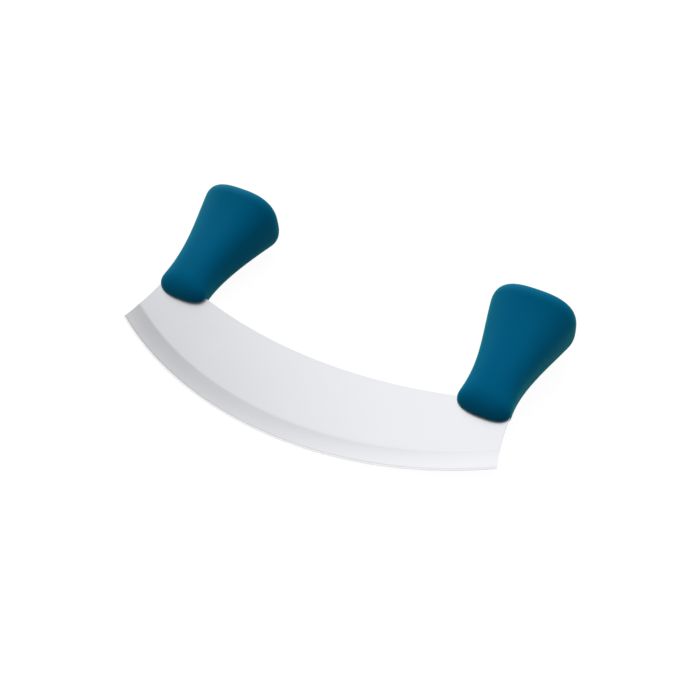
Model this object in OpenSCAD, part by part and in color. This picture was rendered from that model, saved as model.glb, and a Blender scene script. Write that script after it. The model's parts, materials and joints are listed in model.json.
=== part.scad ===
// Mezzaluna: a curved rocking blade with two upright grips, lying on a worktop.
// The blade is drawn flat, with X along it, Y towards the grips and Z out of its
// front face, and the line between its two tips is at Y 0. lay() then tips it on
// to the worktop, where it rests on the backs of both grips and on the middle of
// its cutting edge.

/* [Blade] */
// Length of the blade, tip to tip
blade_length = 220; // [200:1:250]
// Radius of the cutting edge
edge_radius = 210; // [180:1:260]
// Depth of the blade at its middle, from edge to spine
blade_depth = 50; // [44:0.5:54]
// Radius of the spine
spine_radius = 274; // [230:1:330]
// Thickness of the sheet
blade_t = 1.5; // [1.2:0.1:2.5]
// Radius of the hollow cut across each end
end_cut_r = 110; // [80:1:160]
// Height of the waist of that hollow above the tips
end_cut_h = 36; // [30:0.5:44]

/* [Ground edge] */
// Width of the hollow-ground bevel on each face
bevel_w = 11; // [6:0.5:14]
// Radius of the wheel that ground it
wheel_r = 125; // [90:5:300]
// Thickness where the bevel meets the sharpened edge
edge_t = 0.5; // [0.3:0.1:0.8]
// Width of the sharpened edge on each face
edge_w = 0.8; // [0.4:0.1:1.5]
// Width of the flat left on the cutting edge
edge_land = 0.1; // [0.06:0.02:0.2]

/* [Tang] */
// Width of the tang inside each grip
tang_w = 15; // [11:0.5:18]
// Height of the shoulders under the tang above the foot of the grip
shoulder_h = 9; // [7:0.5:12]
// Radius of the fillet between shoulder and tang
tang_fillet = 2; // [1:0.5:3]
// Length of the tang above its shoulders
tang_length = 45; // [34:1:52]
// Diameter of the keying holes in the tang
key_d = 6; // [4:0.5:7]
// Height of the lower keying hole above the shoulders
key_h = 14; // [8:1:18]
// Distance between the two keying holes
key_pitch = 20; // [10:1:24]

/* [Grip] */
// Distance from each tip of the blade in to the centre line of its grip
grip_inset = 20; // [17:0.5:24]
// Length of a grip
grip_length = 74.5; // [66:0.5:90]
// Height of the foot of the grip above the line of the tips
grip_foot_h = 22; // [19:0.5:25]
// Width at the foot, before the foot is rounded
foot_w = 33; // [30:0.5:38]
// Width one third of the way up
waist_w = 28; // [25:0.5:34]
// Width two thirds of the way up
flare_w = 38; // [32:0.5:44]
// Width at the butt, before the butt is rounded
butt_w = 49; // [42:0.5:54]
// Thickness at the foot, before the foot is rounded
foot_t = 16; // [14:0.5:22]
// Thickness one third of the way up
waist_t = 25; // [21:0.5:30]
// Thickness two thirds of the way up
flare_t = 32; // [27:0.5:38]
// Thickness at the butt, before the butt is rounded
butt_t = 46; // [37:0.5:50]
// Squareness of the section, where 2 is an ellipse
squareness = 2.7; // [2:0.1:4]

/* [Grip ends] */
// Height of the rounding of the foot
foot_round_h = 9.5; // [6:0.5:12]
// How far it draws in each side
foot_round_w = 13; // [8:0.5:14]
// How far it draws in the front and the back
foot_round_t = 6; // [3:0.5:6.5]
// Height of the rounding of the butt
butt_round_h = 8.5; // [5:0.5:12]
// How far it draws in each side
butt_round_w = 6; // [3:0.5:12]
// How far it draws in the front and the back
butt_round_t = 8.5; // [3:0.5:12]

/* [Core] */
// Thickness of the skin moulded over the core
skin_t = 3.5; // [2.5:0.5:5]
// Height of the bottom of the core above the foot of the grip
core_h = 6; // [4:0.5:8]
// Number of grooves that key the skin to the core
groove_count = 5; // [2:1:6]
// Distance between two grooves
groove_pitch = 11; // [8:0.5:12]
// Width of the floor of a groove
groove_w = 3; // [2:0.5:4]
// Depth of a groove
groove_depth = 1.5; // [0.5:0.5:2]

/* [Hidden] */
$fn = 96;
grip_ring_count = 40;
grip_row_count = 40;
core_ring_count = 28;
margin = 5;

half_length = blade_length / 2;
edge_drop = edge_radius - sqrt(pow(edge_radius, 2) - pow(half_length, 2));
edge_centre_y = edge_radius - edge_drop;
spine_centre_y = blade_depth - edge_drop + spine_radius;
end_cut_x = half_length + sqrt(pow(end_cut_r, 2) - pow(end_cut_h, 2));
grip_x = half_length - grip_inset;
shoulder_y = grip_foot_h + shoulder_h;
tang_top = shoulder_y + tang_length;

// The cubic that passes through four sizes spaced evenly along the grip
function along(s, a, b, c, d) =
    let (u = 3 * s)
    a * (u - 1) * (u - 2) * (u - 3) / -6 + b * u * (u - 2) * (u - 3) / 2
    + c * u * (u - 1) * (u - 3) / -2 + d * u * (u - 1) * (u - 2) / 6;

// How much of an elliptical rounding is left at a depth below the end it starts from
function round_in(depth, height) =
    depth >= height ? 0 : 1 - sqrt(1 - pow(1 - depth / height, 2));

// Half the grip's width and thickness at a height above its foot
function half_w(h) = along(h / grip_length, foot_w, waist_w, flare_w, butt_w) / 2
    - foot_round_w * round_in(h, foot_round_h)
    - butt_round_w * round_in(grip_length - h, butt_round_h);
function half_t(h) = along(h / grip_length, foot_t, waist_t, flare_t, butt_t) / 2
    - foot_round_t * round_in(h, foot_round_h)
    - butt_round_t * round_in(grip_length - h, butt_round_h);

// A power of a sine or cosine that keeps its sign
function bulge(v) = sign(v) * pow(abs(v), 2 / squareness);

// The grip's section at a height, drawn in by an inset all round
function section(h, inset, count) = [for (i = [0 : count - 1])
    let (a = 360 * i / count)
    [(half_w(h) - inset) * bulge(cos(a)), h + grip_foot_h, (half_t(h) - inset) * bulge(sin(a))]];

// Heights of the grip's sections, closer together at both ends
grip_rows = [for (i = [0 : grip_row_count]) grip_length * (1 - cos(180 * i / grip_row_count)) / 2];

// Heights and insets of the core's sections, with four for each groove
core_top = grip_length - skin_t;
groove_from = (core_h + core_top - (groove_count - 1) * groove_pitch) / 2;
core_rows = [
    [core_h, skin_t + groove_depth],
    [core_h + groove_depth, skin_t],
    for (g = [0 : groove_count - 1])
        let (mid = groove_from + g * groove_pitch)
        each [
            [mid - groove_w / 2 - groove_depth, skin_t],
            [mid - groove_w / 2, skin_t + groove_depth],
            [mid + groove_w / 2, skin_t + groove_depth],
            [mid + groove_w / 2 + groove_depth, skin_t],
        ],
    [core_top - groove_depth, skin_t],
    [core_top, skin_t + groove_depth],
];

// The part lies on the backs of its grips and on the middle of its edge, where the
// sharpened edge touches with its land or with its shoulder, whichever is lower
edge_corners = [[-edge_drop, edge_land / 2], [edge_w - edge_drop, edge_t / 2]];
back_slopes = [for (h = grip_rows)
    min([for (c = edge_corners) (half_t(h) - c[1]) / (h + grip_foot_h - c[0])])];
tilt = atan(max(back_slopes));
lift = max([for (c = edge_corners) c[1] * cos(tilt) - c[0] * sin(tilt)]);
far_y = max([for (h = grip_rows) for (p = section(h, 0, grip_ring_count))
    p[1] * cos(tilt) - p[2] * sin(tilt)]);
near_y = -edge_drop * cos(tilt) - edge_land / 2 * sin(tilt);

module lay() {
    translate([0, -(far_y + near_y) / 2, lift])
        rotate([tilt, 0, 0])
            children();
}

module both_ends() {
    for (side = [0, 1])
        mirror([side, 0])
            children();
}

// Solid through a list of sections, each a ring of count points
module loft(sections, count) {
    last = (len(sections) - 1) * count;
    faces = [
        [for (i = [count - 1 : -1 : 0]) i],
        [for (i = [0 : count - 1]) last + i],
        for (r = [0 : len(sections) - 2], i = [0 : count - 1])
            let (a = r * count + i, b = r * count + (i + 1) % count)
            each [[a, b, a + count], [b, b + count, a + count]],
    ];
    polyhedron([for (s = sections) each s], faces, convexity = 6);
}

// Half of the sheet's section, from the centre of the edge's arc out to the edge
module ground_profile() {
    bevel_x = edge_radius - bevel_w;
    edge_x = edge_radius - edge_w;
    run = [edge_x - bevel_x, (edge_t - blade_t) / 2];
    rise = sqrt(pow(wheel_r / norm(run), 2) - 0.25);
    wheel_x = bevel_x + run[0] / 2 - run[1] * rise;
    wheel_y = blade_t / 2 + run[1] / 2 + run[0] * rise;
    difference() {
        polygon([
            [0, -blade_t / 2],
            [edge_x, -blade_t / 2],
            [edge_x, -edge_t / 2],
            [edge_radius, -edge_land / 2],
            [edge_radius, edge_land / 2],
            [edge_x, edge_t / 2],
            [edge_x, blade_t / 2],
            [0, blade_t / 2],
        ]);
        for (face = [-1, 1])
            translate([wheel_x, face * wheel_y])
                circle(r = wheel_r, $fn = 720);
    }
}

module crescent() {
    intersection() {
        translate([-half_length - margin, -edge_drop - margin])
            square([blade_length + 2 * margin, shoulder_y + edge_drop + margin]);
        difference() {
            translate([0, edge_centre_y])
                circle(r = edge_radius + margin, $fn = 360);
            translate([0, spine_centre_y])
                circle(r = spine_radius, $fn = 360);
        }
    }
}

// Upright tang with a round end, filleted where it leaves its shoulders
module tang() {
    translate([grip_x - tang_w / 2, shoulder_y - margin])
        square([tang_w, tang_length + margin - tang_w / 2]);
    translate([grip_x, tang_top - tang_w / 2])
        circle(d = tang_w);
    for (side = [-1, 1])
        translate([grip_x + side * (tang_w / 2 + tang_fillet / 2), shoulder_y + tang_fillet / 2])
            difference() {
                square([tang_fillet, tang_fillet], center = true);
                translate([side * tang_fillet / 2, tang_fillet / 2])
                    circle(r = tang_fillet);
            }
}

module blade_outline() {
    difference() {
        union() {
            crescent();
            both_ends() tang();
        }
        both_ends()
            translate([end_cut_x, end_cut_h])
                circle(r = end_cut_r, $fn = 360);
        both_ends()
            for (hole = [0, 1])
                translate([grip_x, shoulder_y + key_h + hole * key_pitch])
                    circle(d = key_d);
    }
}

module sheet() {
    linear_extrude(height = blade_t, center = true)
        blade_outline();
}

module blade() {
    color("#d8dade")
        lay()
            intersection() {
                sheet();
                translate([0, edge_centre_y, 0])
                    rotate_extrude($fn = 720)
                        ground_profile();
            }
}

// Body that the grip's skin is moulded over, clamped round the tang
module core_form() {
    loft([for (r = core_rows) section(r[0], r[1], core_ring_count)], core_ring_count);
}

// Core in one piece with the two pins that fill the keying holes
module core(side) {
    color("#3c4448")
        lay()
            difference() {
                translate([side * grip_x, 0, 0])
                    core_form();
                sheet();
            }
}

module grip(side) {
    color("#005c80")
        lay()
            difference() {
                translate([side * grip_x, 0, 0])
                    difference() {
                        loft([for (h = grip_rows) section(h, 0, grip_ring_count)], grip_ring_count);
                        core_form();
                    }
                sheet();
            }
}

blade();
core(-1);  // core_left
core(1);  // core_right
grip(-1);  // grip_left
grip(1);  // grip_right
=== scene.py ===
import bpy
import bmesh
import json
import math
from mathutils import Matrix, Quaternion, Vector


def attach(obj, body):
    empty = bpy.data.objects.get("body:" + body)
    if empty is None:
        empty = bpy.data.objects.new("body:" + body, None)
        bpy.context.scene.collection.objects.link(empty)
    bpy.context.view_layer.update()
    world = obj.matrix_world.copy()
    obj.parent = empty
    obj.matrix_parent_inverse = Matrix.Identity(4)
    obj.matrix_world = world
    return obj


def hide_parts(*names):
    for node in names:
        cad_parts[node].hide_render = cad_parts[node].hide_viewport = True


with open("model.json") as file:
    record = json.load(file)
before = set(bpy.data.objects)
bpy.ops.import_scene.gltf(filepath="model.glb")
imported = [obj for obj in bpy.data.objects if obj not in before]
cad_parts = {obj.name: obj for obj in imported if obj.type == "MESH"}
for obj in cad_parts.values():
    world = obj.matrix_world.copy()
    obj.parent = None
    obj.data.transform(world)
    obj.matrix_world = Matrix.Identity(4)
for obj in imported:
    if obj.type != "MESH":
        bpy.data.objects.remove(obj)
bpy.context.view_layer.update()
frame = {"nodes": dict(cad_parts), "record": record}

mm = 0.001
mounts = {mount["name"]: mount for mount in frame["record"]["mounts"]}

# Every piece is modelled flat, X along the blade, Y to the grips, Z out of its front.
# The line between the blade's tips is Y 0. layDown then puts it where the CAD has it.
gripSet = {
    "length": 74.5 * mm,
    "footHeight": 22 * mm,
    "widths": (33 * mm, 28 * mm, 38 * mm, 49 * mm),
    "thicknesses": (16 * mm, 25 * mm, 32 * mm, 46 * mm),
    "squareness": 2.7,
    "footWide": {"height": 9.5 * mm, "inset": 13 * mm, "fullness": 2.3},
    "footThick": {"height": 12 * mm, "inset": 6 * mm, "fullness": 2.2},
    "footSetBack": 1.6 * mm,
    "buttWide": {"height": 8.5 * mm, "inset": 6 * mm, "fullness": 2},
    "buttThick": {"height": 8.5 * mm, "inset": 8.5 * mm, "fullness": 2},
    "pointsRound": 96,
    "rings": 84,
    "mergeGap": 0.0005 * mm,
    "smoothAngle": 40,
}

buttPoint = Vector(mounts["butt_right"]["pos_m"])
gripAxis = Vector(mounts["butt_right"]["axis"])
gripX = buttPoint.x
tilt = math.atan2(gripAxis.z, gripAxis.y)
tipLine = buttPoint - gripAxis * (gripSet["footHeight"] + gripSet["length"])
layDown = Matrix.Translation((0, tipLine.y, tipLine.z)) @ Matrix.Rotation(tilt, 4, "X")

# Camera

cameraSet = {
    "place": (0.20767, -0.34686, 0.40364),
    "aim": (-0.34856, 0.61844, -0.7043),
    "leanDegrees": -0.54,
    "focalPixels": 1076.6,
    "imagePixels": 700,
    "sensor": 36,
    "clipStart": 0.01,
}


def makeCamera():
    data = bpy.data.cameras.new("camera")
    data.sensor_width = cameraSet["sensor"]
    data.lens = cameraSet["sensor"] * cameraSet["focalPixels"] / cameraSet["imagePixels"]
    data.clip_start = cameraSet["clipStart"]
    camera = bpy.data.objects.new("camera", data)
    camera.location = cameraSet["place"]
    camera.rotation_mode = "QUATERNION"
    lean = Quaternion((0, 0, 1), math.radians(cameraSet["leanDegrees"]))
    camera.rotation_quaternion = Vector(cameraSet["aim"]).to_track_quat("-Z", "Y") @ lean
    bpy.context.scene.collection.objects.link(camera)
    bpy.context.scene.camera = camera


makeCamera()
bpy.context.scene.view_settings.view_transform = "Standard"
print("camera made")


# Modelling helpers

def makeActive(piece):
    bpy.ops.object.select_all(action="DESELECT")
    piece.select_set(True)
    bpy.context.view_layer.objects.active = piece


def applyPlace(piece):
    makeActive(piece)
    bpy.ops.object.transform_apply(location=True, rotation=True, scale=True)


def layPiece(piece):
    piece.matrix_world = layDown
    applyPlace(piece)


def cutWith(piece, cutter, operation="DIFFERENCE"):
    makeActive(piece)
    modifier = piece.modifiers.new("cut", "BOOLEAN")
    modifier.operation = operation
    modifier.solver = "EXACT"
    modifier.object = cutter
    bpy.ops.object.modifier_apply(modifier=modifier.name)
    bpy.data.objects.remove(cutter)


def copyOf(piece, name):
    twin = piece.copy()
    twin.data = piece.data.copy()
    twin.name = name
    bpy.context.scene.collection.objects.link(twin)
    return twin


def roundBar(radius, place, depth, sides):
    bpy.ops.mesh.primitive_cylinder_add(
        vertices=sides, radius=radius, depth=depth, location=(place[0], place[1], 0))
    piece = bpy.context.object
    applyPlace(piece)
    return piece


def slab(left, right, low, high, depth):
    bpy.ops.mesh.primitive_cube_add(
        size=1, location=((left + right) / 2, (low + high) / 2, 0),
        scale=(right - left, high - low, depth))
    piece = bpy.context.object
    applyPlace(piece)
    return piece


def selectEdges(piece, wanted):
    # Selects the edges for which wanted(edge) is true, in edit mode
    bpy.ops.mesh.select_mode(type="EDGE")
    bpy.ops.mesh.select_all(action="DESELECT")
    mesh = bmesh.from_edit_mesh(piece.data)
    for edge in mesh.edges:
        edge.select_set(wanted(edge))
    bmesh.update_edit_mesh(piece.data)


def tidyMesh(piece, gap):
    # Merges doubles and turns every face outwards
    makeActive(piece)
    bpy.ops.object.mode_set(mode="EDIT")
    bpy.ops.mesh.select_all(action="SELECT")
    bpy.ops.mesh.remove_doubles(threshold=gap)
    bpy.ops.mesh.normals_make_consistent(inside=False)
    bpy.ops.object.mode_set(mode="OBJECT")


def shadeByAngle(piece, degrees):
    makeActive(piece)
    bpy.ops.object.shade_smooth_by_angle(angle=math.radians(degrees))


# Blade

bladeSet = {
    "length": 220 * mm,
    "edgeRadius": 210 * mm,
    "depth": 50 * mm,
    "spineRadius": 274 * mm,
    "thickness": 1.5 * mm,
    "endCutRadius": 110 * mm,
    "endCutHeight": 36 * mm,
    "bevelWidth": 11 * mm,
    "wheelRadius": 125 * mm,
    "sharpThickness": 0.5 * mm,
    "sharpWidth": 0.8 * mm,
    "land": 0.1 * mm,
    "shoulderHeight": 9 * mm,
    "tangWidth": 15 * mm,
    "tangLength": 45 * mm,
    "keyDiameter": 6 * mm,
    "keyHeight": 14 * mm,
    "keyPitch": 20 * mm,
    "reach": 80 * mm,
    "softLine": 0.8 * mm,
    "hollowRows": 12,
    "sweepDegrees": 90,
    "sweepSteps": 450,
    "rimRound": 0.15 * mm,
    "rimDegrees": 60,
    "rimStop": 1.2 * mm,
    "rimMargin": 0.1 * mm,
    "cutterDepth": 12 * mm,
    "arcSides": 720,
    "holeSides": 48,
    "profileGap": 0.01 * mm,
    "mergeGap": 0.001 * mm,
    "smoothAngle": 22,
}
halfLength = bladeSet["length"] / 2
edgeDrop = bladeSet["edgeRadius"] - math.sqrt(bladeSet["edgeRadius"] ** 2 - halfLength ** 2)
edgeCentreY = bladeSet["edgeRadius"] - edgeDrop
spineCentreY = bladeSet["depth"] - edgeDrop + bladeSet["spineRadius"]
endCutX = halfLength + math.sqrt(bladeSet["endCutRadius"] ** 2 - bladeSet["endCutHeight"] ** 2)
shoulderY = gripSet["footHeight"] + bladeSet["shoulderHeight"]


def hollowPoints():
    # Radius and height above the middle plane, from the bevel line out to the sharpened edge
    inner = Vector((bladeSet["edgeRadius"] - bladeSet["bevelWidth"], bladeSet["thickness"] / 2))
    outer = Vector((bladeSet["edgeRadius"] - bladeSet["sharpWidth"],
                    bladeSet["sharpThickness"] / 2))
    run = outer - inner
    rise = math.sqrt((bladeSet["wheelRadius"] / run.length) ** 2 - 0.25)
    wheel = inner + run / 2 + Vector((-run.y, run.x)) * rise
    points = []
    for row in range(bladeSet["hollowRows"] + 1):
        radius = inner.x + run.x * row / bladeSet["hollowRows"]
        height = wheel.y - math.sqrt(bladeSet["wheelRadius"] ** 2 - (radius - wheel.x) ** 2)
        points.append((radius, height))
    return points


def groundProfile():
    # Upper half of the sheet's section from deep inside it out to the cutting edge
    edge = bladeSet["edgeRadius"]
    bevelLine = edge - bladeSet["bevelWidth"]
    face = bladeSet["thickness"] / 2
    upper = [(edge - bladeSet["reach"], face), (bevelLine - 4 * bladeSet["softLine"], face),
             (bevelLine - bladeSet["softLine"], face)]
    upper += hollowPoints() + [(edge, bladeSet["land"] / 2)]
    return upper + [(radius, -height) for radius, height in reversed(upper)]


def groundDisc():
    # The sheet's section, spun about the centre of the cutting edge's arc
    start = -math.radians(bladeSet["sweepDegrees"] / 2)
    centre = Vector((0, edgeCentreY, 0))
    turned = Matrix.Rotation(start, 3, "Z")
    points = [centre + turned @ Vector((0, -radius, height)) for radius, height in groundProfile()]
    mesh = bpy.data.meshes.new("blade")
    mesh.from_pydata(points, [(i, (i + 1) % len(points)) for i in range(len(points))], [])
    piece = bpy.data.objects.new("bladeSteel", mesh)
    bpy.context.scene.collection.objects.link(piece)
    makeActive(piece)
    bpy.ops.object.mode_set(mode="EDIT")
    bpy.ops.mesh.select_all(action="SELECT")
    bpy.ops.mesh.spin(
        steps=bladeSet["sweepSteps"], angle=2 * start, center=centre, axis=(0, 0, 1))
    selectEdges(piece, lambda edge: edge.is_boundary)
    bpy.ops.mesh.edge_face_add()
    bpy.ops.object.mode_set(mode="OBJECT")
    return piece


def tangShape(side, width):
    half = width / 2
    top = shoulderY + bladeSet["tangLength"] - bladeSet["tangWidth"] / 2
    depth = bladeSet["cutterDepth"] * 2
    shape = slab(side * gripX - half, side * gripX + half, 0, top, depth)
    end = roundBar(half, (side * gripX, top), depth, bladeSet["holeSides"])
    cutWith(shape, end, "UNION")
    return shape


def wasteAbove():
    # All that lies above the spine and beside the tangs
    depth, sides = bladeSet["cutterDepth"], bladeSet["arcSides"]
    above = slab(-bladeSet["length"], bladeSet["length"], shoulderY, bladeSet["length"], depth)
    cutWith(above, roundBar(bladeSet["spineRadius"], (0, spineCentreY), depth, sides), "UNION")
    for side in (-1, 1):
        cutWith(above, tangShape(side, bladeSet["tangWidth"]))
    return above


def makeBlade():
    depth = bladeSet["cutterDepth"]
    piece = groundDisc()
    tidyMesh(piece, bladeSet["profileGap"])
    cutWith(piece, wasteAbove())
    for side in (-1, 1):
        endPlace = (side * endCutX, bladeSet["endCutHeight"])
        cutWith(piece, roundBar(
            bladeSet["endCutRadius"], endPlace, depth, bladeSet["arcSides"]))
        for hole in (0, 1):
            height = shoulderY + bladeSet["keyHeight"] + hole * bladeSet["keyPitch"]
            cutWith(piece, roundBar(
                bladeSet["keyDiameter"] / 2, (side * gripX, height), depth,
                bladeSet["holeSides"]))
    tidyMesh(piece, bladeSet["mergeGap"])
    roundRims(piece)
    return piece


def roundRims(piece):
    # Breaks the sheet's sharp rims, but neither the ground edge nor what the grips hide
    limit = bladeSet["edgeRadius"] - bladeSet["rimStop"]
    steepest = math.radians(bladeSet["rimDegrees"])

    def onRim(edge):
        if len(edge.link_faces) != 2 or edge.calc_face_angle() < steepest:
            return False
        middle = (edge.verts[0].co + edge.verts[1].co) / 2
        radius = math.hypot(middle.x, middle.y - edgeCentreY)
        return radius < limit and middle.y < shoulderY + bladeSet["rimMargin"]

    makeActive(piece)
    bpy.ops.object.mode_set(mode="EDIT")
    selectEdges(piece, onRim)
    bpy.ops.mesh.bevel(offset=bladeSet["rimRound"], segments=2, affect="EDGES", clamp_overlap=True)
    bpy.ops.object.mode_set(mode="OBJECT")


bladePiece = makeBlade()
print("blade made", len(bladePiece.data.polygons))


# Grips

def throughFour(share, sizes):
    # The cubic through four sizes spaced evenly along the grip
    u = 3 * share
    return (sizes[0] * (u - 1) * (u - 2) * (u - 3) / -6 + sizes[1] * u * (u - 2) * (u - 3) / 2
            + sizes[2] * u * (u - 1) * (u - 3) / -2 + sizes[3] * u * (u - 1) * (u - 2) / 6)


def roundIn(depth, rounding, setBack=0):
    # How far the surface has drawn in at a depth from an end that may be set back
    depth, height = max(depth - setBack, 0), rounding["height"] - setBack
    if depth >= height:
        return 0
    fullness = rounding["fullness"]
    return rounding["inset"] * (1 - (1 - (1 - depth / height) ** fullness) ** (1 / fullness))


def gripHalf(height, sizes, foot, butt):
    size = throughFour(height / gripSet["length"], sizes) / 2
    return (size - roundIn(height, foot, gripSet["footSetBack"])
            - roundIn(gripSet["length"] - height, butt))


def bulge(value):
    return math.copysign(abs(value) ** (2 / gripSet["squareness"]), value)


def sectionHalves(height, inset):
    # Half width and half thickness of the grip at a height above its foot, less an inset
    wide = gripHalf(height, gripSet["widths"], gripSet["footWide"], gripSet["buttWide"])
    thick = gripHalf(height, gripSet["thicknesses"], gripSet["footThick"], gripSet["buttThick"])
    return wide - inset, thick - inset


def firstRing(piece, height, inset):
    # Turns the primitive circle into a rounded-square section of the grip
    wide, thick = sectionHalves(height, inset)
    for vertex in piece.data.vertices:
        angle = math.atan2(vertex.co.y, vertex.co.x)
        vertex.co = (wide * bulge(math.cos(angle)), gripSet["footHeight"] + height,
                     -thick * bulge(math.sin(angle)))


def loftForm(name, rows, pointsRound):
    # Extrudes a section up the grip through rows of height and inset
    bpy.ops.mesh.primitive_circle_add(vertices=pointsRound, radius=1)
    piece = bpy.context.object
    piece.name = name
    firstRing(piece, *rows[0])
    bpy.ops.object.mode_set(mode="EDIT")
    bpy.ops.mesh.select_all(action="SELECT")
    bpy.ops.mesh.edge_face_add()
    for low, high in zip(rows, rows[1:]):
        before, after = sectionHalves(*low), sectionHalves(*high)
        bpy.ops.mesh.extrude_region_move(
            TRANSFORM_OT_translate={"value": (0, high[0] - low[0], 0)})
        bpy.ops.transform.resize(
            value=(after[0] / before[0], 1, after[1] / before[1]),
            center_override=(0, gripSet["footHeight"] + high[0], 0))
    bpy.ops.object.mode_set(mode="OBJECT")
    return piece


def gripRows():
    # Closer together at both ends
    count, start = gripSet["rings"], gripSet["footSetBack"]
    run = gripSet["length"] - start
    return [(start + run * (1 - math.cos(math.pi * i / count)) / 2, 0) for i in range(count + 1)]


coreSet = {
    "skin": 3.5 * mm,
    "height": 6 * mm,
    "grooves": 5,
    "groovePitch": 11 * mm,
    "grooveWidth": 3 * mm,
    "grooveDepth": 1.5 * mm,
    "pointsRound": 28,
}


def coreRows():
    # Four rows for each groove, as the core inside the grip has them
    skin, deep = coreSet["skin"], coreSet["grooveDepth"]
    bottom, top = coreSet["height"], gripSet["length"] - skin
    half = coreSet["grooveWidth"] / 2
    start = (bottom + top - (coreSet["grooves"] - 1) * coreSet["groovePitch"]) / 2
    rows = [(bottom, skin + deep), (bottom + deep, skin)]
    for groove in range(coreSet["grooves"]):
        middle = start + groove * coreSet["groovePitch"]
        rows += [(middle - half - deep, skin), (middle - half, skin + deep),
                 (middle + half, skin + deep), (middle + half + deep, skin)]
    return rows + [(top - deep, skin), (top, skin + deep)]


def atGrip(piece, side):
    piece.location.x = side * gripX
    applyPlace(piece)
    tidyMesh(piece, gripSet["mergeGap"])
    return piece


def makeGrip(side, name):
    grip = atGrip(loftForm(name, gripRows(), gripSet["pointsRound"]), side)
    cavity = atGrip(loftForm("cavity", coreRows(), coreSet["pointsRound"]), side)
    cutWith(grip, copyOf(bladePiece, "slotCutter"))
    cutWith(grip, cavity)
    return grip


grips = {}
for side, word in ((-1, "left"), (1, "right")):
    grip = makeGrip(side, "gripSkin." + word)
    shadeByAngle(grip, gripSet["smoothAngle"])
    layPiece(grip)
    grips[word] = grip
    print("grip made", word, len(grip.data.polygons))

shadeByAngle(bladePiece, bladeSet["smoothAngle"])
layPiece(bladePiece)


# Materials

class Wire:
    # A socket in a node tree that can be used in sums
    def __init__(self, graph, socket):
        self.graph = graph
        self.socket = socket

    def maths(self, operation, first, second=None):
        inputs = {0: first} if second is None else {0: first, 1: second}
        return self.graph.node("ShaderNodeMath", {"operation": operation}, inputs)

    def __add__(self, other):
        return self.maths("ADD", self, other)

    def __radd__(self, other):
        return self.maths("ADD", other, self)

    def __sub__(self, other):
        return self.maths("SUBTRACT", self, other)

    def __rsub__(self, other):
        return self.maths("SUBTRACT", other, self)

    def __mul__(self, other):
        return self.maths("MULTIPLY", self, other)

    def __rmul__(self, other):
        return self.maths("MULTIPLY", other, self)

    def __pow__(self, other):
        return self.maths("POWER", self, other)

    def __abs__(self):
        return self.maths("ABSOLUTE", self)


class Graph:
    def __init__(self, tree):
        self.tree = tree
        self.tree.nodes.clear()

    def node(self, kind, settings, inputs, output=0):
        made = self.tree.nodes.new(kind)
        for name, value in settings.items():
            setattr(made, name, value)
        for name, value in inputs.items():
            if isinstance(value, Wire):
                self.tree.links.new(value.socket, made.inputs[name])
            else:
                made.inputs[name].default_value = value
        return Wire(self, made.outputs[output])

    def step(self, value, low, high):
        # 0 below low, 1 above high, smooth between
        return self.node(
            "ShaderNodeMapRange", {"interpolation_type": "SMOOTHSTEP"},
            {"Value": value, "From Min": low, "From Max": high})

    def past(self, value, line, soft):
        # 0 before a line, 1 past it, soft for a little on both sides
        return self.step(value, line - soft, line + soft)

    def noise(self, vector, scale, detail):
        return self.node(
            "ShaderNodeTexNoise", {}, {"Vector": vector, "Scale": scale, "Detail": detail})

    def mixColours(self, share, first, second):
        return self.node(
            "ShaderNodeMix", {"data_type": "RGBA"}, {0: share, 6: first, 7: second}, 2)

    def flatPlace(self):
        # Object coordinates turned back to the flat drawing, in metres
        place = self.node("ShaderNodeTexCoord", {}, {}, "Object")
        back = layDown.inverted()
        return self.node("ShaderNodeMapping", {}, {
            "Vector": place, "Location": back.to_translation(), "Rotation": back.to_euler()})

    def split(self, vector):
        made = self.node("ShaderNodeSeparateXYZ", {}, {0: vector})
        return [Wire(self, socket) for socket in made.socket.node.outputs]

    def join(self, x, y, z):
        return self.node("ShaderNodeCombineXYZ", {}, {0: x, 1: y, 2: z})

    def seenOrMirrored(self):
        # 1 for what the camera sees, directly or in something glossy
        camera = self.node("ShaderNodeLightPath", {}, {}, "Is Camera Ray")
        glossy = self.node("ShaderNodeLightPath", {}, {}, "Is Glossy Ray")
        return self.node("ShaderNodeMath", {"operation": "MAXIMUM"}, {0: camera, 1: glossy})

    def bump(self, height, strength, distance):
        return self.node(
            "ShaderNodeBump", {}, {"Height": height, "Strength": strength, "Distance": distance})

    def finish(self, kind, inputs, output):
        shader = self.node(kind, {}, inputs)
        end = self.tree.nodes.new(output)
        self.tree.links.new(shader.socket, end.inputs["Surface"])


def newMaterial(name):
    material = bpy.data.materials.new(name)
    material.use_nodes = True
    return material, Graph(material.node_tree)


def dress(piece, material):
    piece.data.materials.clear()
    piece.data.materials.append(material)


steelLook = {
    "colour": (0.489, 0.492, 0.509, 1),
    "darker": (0.455, 0.458, 0.474, 1),
    "edgeColour": (0.85, 0.85, 0.86, 1),
    "roughness": 0.25,
    "bevelRoughness": 0.20,
    "edgeRoughness": 0.45,
    "bevelSoft": 0.3 * mm,
    "edgeSoft": 0.1 * mm,
    "grainRoughness": 0.08,
    "grainLength": 30 * mm,
    "grainWidth": 0.14 * mm,
    "grainDetail": 3.0,
    "grainDepth": 0.004 * mm,
    "grainStrength": 0.25,
    "bevelGrainShare": 3,
    "cloudRoughness": 0.05,
    "cloudScale": 45.0,
    "cloudDetail": 2.0,
}


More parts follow.
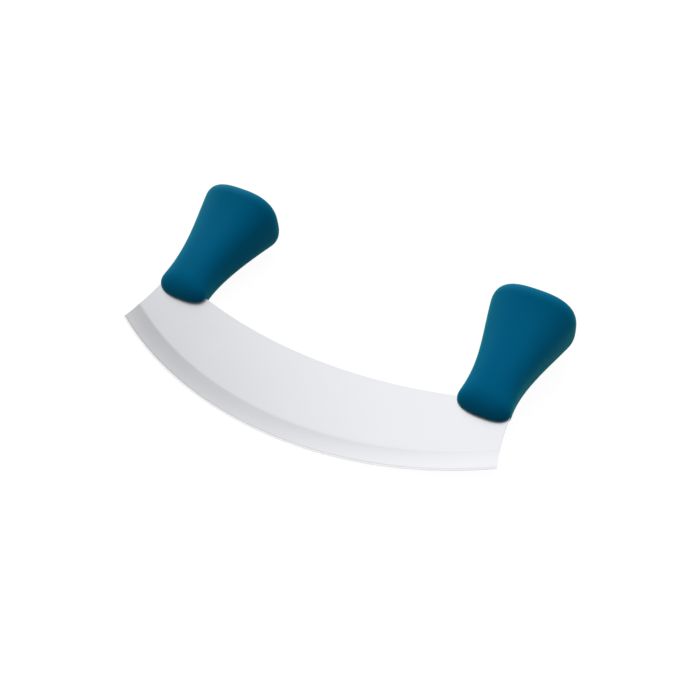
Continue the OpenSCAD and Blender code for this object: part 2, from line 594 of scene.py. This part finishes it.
def steelGrain(graph, flat, polar, onBevel):
    # Runs along the blade on its faces and across it on the ground bevel
    x, y, z = flat
    radius, angle = polar
    along, across = 1 / steelLook["grainLength"], 1 / steelLook["grainWidth"]
    detail = steelLook["grainDetail"]
    faceGrain = graph.noise(graph.join(x * along, y * across, z * across), 1.0, detail)
    arc = angle * bladeSet["edgeRadius"]
    inward = radius * along * steelLook["bevelGrainShare"]
    bevelGrain = graph.noise(graph.join(arc * across, inward, z * along), 1.0, detail)
    return faceGrain + (bevelGrain - faceGrain) * onBevel


def makeSteel():
    material, graph = newMaterial("satin steel")
    place = graph.flatPlace()
    x, y, z = graph.split(place)
    fromCentre = y - edgeCentreY
    radius = (x * x + fromCentre * fromCentre) ** 0.5
    angle = graph.node("ShaderNodeMath", {"operation": "ARCTAN2"}, {0: x, 1: 0 - fromCentre})
    bevelLine = bladeSet["edgeRadius"] - bladeSet["bevelWidth"]
    onBevel = graph.past(radius, bevelLine, steelLook["bevelSoft"])
    grain = steelGrain(graph, (x, y, z), (radius, angle), onBevel)
    cloud = graph.noise(place, steelLook["cloudScale"], steelLook["cloudDetail"])
    rough = steelLook["roughness"]
    rough = rough + (steelLook["bevelRoughness"] - rough) * onBevel
    onEdge = graph.past(
        radius, bladeSet["edgeRadius"] - bladeSet["sharpWidth"], steelLook["edgeSoft"])
    rough = rough + (steelLook["edgeRoughness"] - steelLook["bevelRoughness"]) * onEdge
    rough = (rough + (grain - 0.5) * steelLook["grainRoughness"]
             + (cloud - 0.5) * steelLook["cloudRoughness"])
    colour = graph.mixColours(grain * 0.5 + cloud * 0.5, steelLook["darker"], steelLook["colour"])
    colour = graph.mixColours(onEdge, colour, steelLook["edgeColour"])
    graph.finish("ShaderNodeBsdfPrincipled", {
        "Base Color": colour, "Metallic": 1.0, "Roughness": rough,
        "Normal": graph.bump(grain, steelLook["grainStrength"], steelLook["grainDepth"]),
    }, "ShaderNodeOutputMaterial")
    return material


plasticLook = {
    "colour": (0.0, 0.119, 0.257, 1),
    "paler": (0.0, 0.130, 0.277, 1),
    "roughness": 0.60,
    "specular": 0.06,
    "specularTint": (0.0, 1.0, 1.0, 1),
    "sheen": 0.35,
    "sheenRoughness": 0.45,
    "sheenTint": (0.0, 1.0, 0.7, 1),
    "cloudScale": 30.0,
    "cloudDetail": 3.0,
    "cloudRoughness": 0.08,
    "textureScale": 2600.0,
    "textureDetail": 2.0,
    "textureRoughness": 0.10,
    "textureHeight": 0.006,
    "partingHeight": 0.05,
    "partingCore": 0.12 * mm,
    "partingWidth": 0.3 * mm,
    "bumpDistance": 1 * mm,
}


def makePlastic():
    material, graph = newMaterial("petrol plastic")
    place = graph.flatPlace()
    x, y, z = graph.split(place)
    cloud = graph.noise(place, plasticLook["cloudScale"], plasticLook["cloudDetail"])
    texture = graph.noise(place, plasticLook["textureScale"], plasticLook["textureDetail"])
    parting = 1 - graph.step(abs(z), plasticLook["partingCore"], plasticLook["partingWidth"])
    colour = graph.mixColours(cloud, plasticLook["colour"], plasticLook["paler"])
    rough = (plasticLook["roughness"] + (cloud - 0.5) * plasticLook["cloudRoughness"]
             + (texture - 0.5) * plasticLook["textureRoughness"])
    height = texture * plasticLook["textureHeight"] + parting * plasticLook["partingHeight"]
    graph.finish("ShaderNodeBsdfPrincipled", {
        "Base Color": colour, "Roughness": rough,
        "Specular IOR Level": plasticLook["specular"],
        "Specular Tint": plasticLook["specularTint"],
        "Sheen Weight": plasticLook["sheen"], "Sheen Tint": plasticLook["sheenTint"],
        "Sheen Roughness": plasticLook["sheenRoughness"],
        "Normal": graph.bump(height, 1.0, plasticLook["bumpDistance"]),
    }, "ShaderNodeOutputMaterial")
    return material


coreLook = {
    "colour": (0.03, 0.035, 0.04, 1),
    "paler": (0.05, 0.055, 0.06, 1),
    "roughness": 0.55,
    "cloudScale": 60.0,
    "cloudDetail": 3.0,
    "cloudRoughness": 0.1,
}


def makeCorePlastic():
    material, graph = newMaterial("core plastic")
    cloud = graph.noise(graph.flatPlace(), coreLook["cloudScale"], coreLook["cloudDetail"])
    graph.finish("ShaderNodeBsdfPrincipled", {
        "Base Color": graph.mixColours(cloud, coreLook["colour"], coreLook["paler"]),
        "Roughness": coreLook["roughness"] + (cloud - 0.5) * coreLook["cloudRoughness"],
    }, "ShaderNodeOutputMaterial")
    return material


dress(bladePiece, makeSteel())
plastic = makePlastic()
corePlastic = makeCorePlastic()
for word, grip in grips.items():
    dress(grip, plastic)
    dress(frame["nodes"]["core_" + word], corePlastic)
print("materials made")

for word, grip in grips.items():
    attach(grip, "root")
    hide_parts("grip_" + word)
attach(bladePiece, "root")
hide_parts("blade")


# Studio

studioSet = {
    "floorSize": 6,
    "floorDrop": 0.1 * mm,
    "floorWhite": 0.95,
    "floorShade": 0.10,
    "floorBounce": 0.15,
    "fill": 0.28,
    "panels": [
        {"azimuth": 180, "elevation": 75, "inner": 5, "outer": 28, "strength": 0.67},
        {"azimuth": 180, "elevation": 55, "inner": 5, "outer": 38, "strength": 0.37},
        {"azimuth": 180, "elevation": 22, "inner": 5, "outer": 38, "strength": 0.41},
        {"azimuth": 135, "elevation": 35, "inner": 5, "outer": 28, "strength": 1.05},
        {"azimuth": 135, "elevation": 15, "inner": 5, "outer": 28, "strength": 2.02},
        {"azimuth": 90, "elevation": 55, "inner": 5, "outer": 38, "strength": 1.47},
        {"azimuth": 45, "elevation": 22, "inner": 5, "outer": 38, "strength": 0.43},
    ],
}


def greyDiffuse(graph, level):
    return graph.node("ShaderNodeBsdfDiffuse", {}, {"Color": (level, level, level, 1)})


def makeFloor():
    # White where the camera sees it, and dull where it lights the piece
    bpy.ops.mesh.primitive_plane_add(
        size=studioSet["floorSize"], location=(0, 0, -studioSet["floorDrop"]))
    floor = bpy.context.object
    floor.name = "floor"
    material, graph = newMaterial("pale floor")
    diffuse = greyDiffuse(graph, studioSet["floorBounce"])
    seen = graph.seenOrMirrored()
    glow = graph.node("ShaderNodeEmission", {}, {
        "Color": (1, 1, 1, 1), "Strength": studioSet["floorWhite"]})
    shade = greyDiffuse(graph, studioSet["floorShade"])
    pale = graph.node("ShaderNodeAddShader", {}, {0: glow, 1: shade})
    graph.finish("ShaderNodeMixShader", {0: seen, 1: diffuse, 2: pale}, "ShaderNodeOutputMaterial")
    dress(floor, material)


def panelGlow(graph, way, panel):
    # A round soft light far away, full inside one angle and gone outside another
    azimuth, elevation = math.radians(panel["azimuth"]), math.radians(panel["elevation"])
    flat = math.cos(elevation)
    x, y, z = way
    facing = (x * (flat * math.cos(azimuth)) + y * (flat * math.sin(azimuth))
              + z * math.sin(elevation))
    inner, outer = math.radians(panel["inner"]), math.radians(panel["outer"])
    return graph.step(facing, math.cos(outer), math.cos(inner)) * panel["strength"]


def makeWorld():
    world = bpy.data.worlds.new("studio")
    world.use_nodes = True
    bpy.context.scene.world = world
    graph = Graph(world.node_tree)
    way = graph.split(graph.node("ShaderNodeTexCoord", {}, {}, "Generated"))
    light = studioSet["fill"]
    for panel in studioSet["panels"]:
        light = light + panelGlow(graph, way, panel)
    seen = graph.node("ShaderNodeLightPath", {}, {}, "Is Camera Ray")
    strength = light + (1 - light) * seen
    graph.finish("ShaderNodeBackground", {
        "Color": (1, 1, 1, 1), "Strength": strength}, "ShaderNodeOutputWorld")


makeFloor()
makeWorld()
print("studio made")
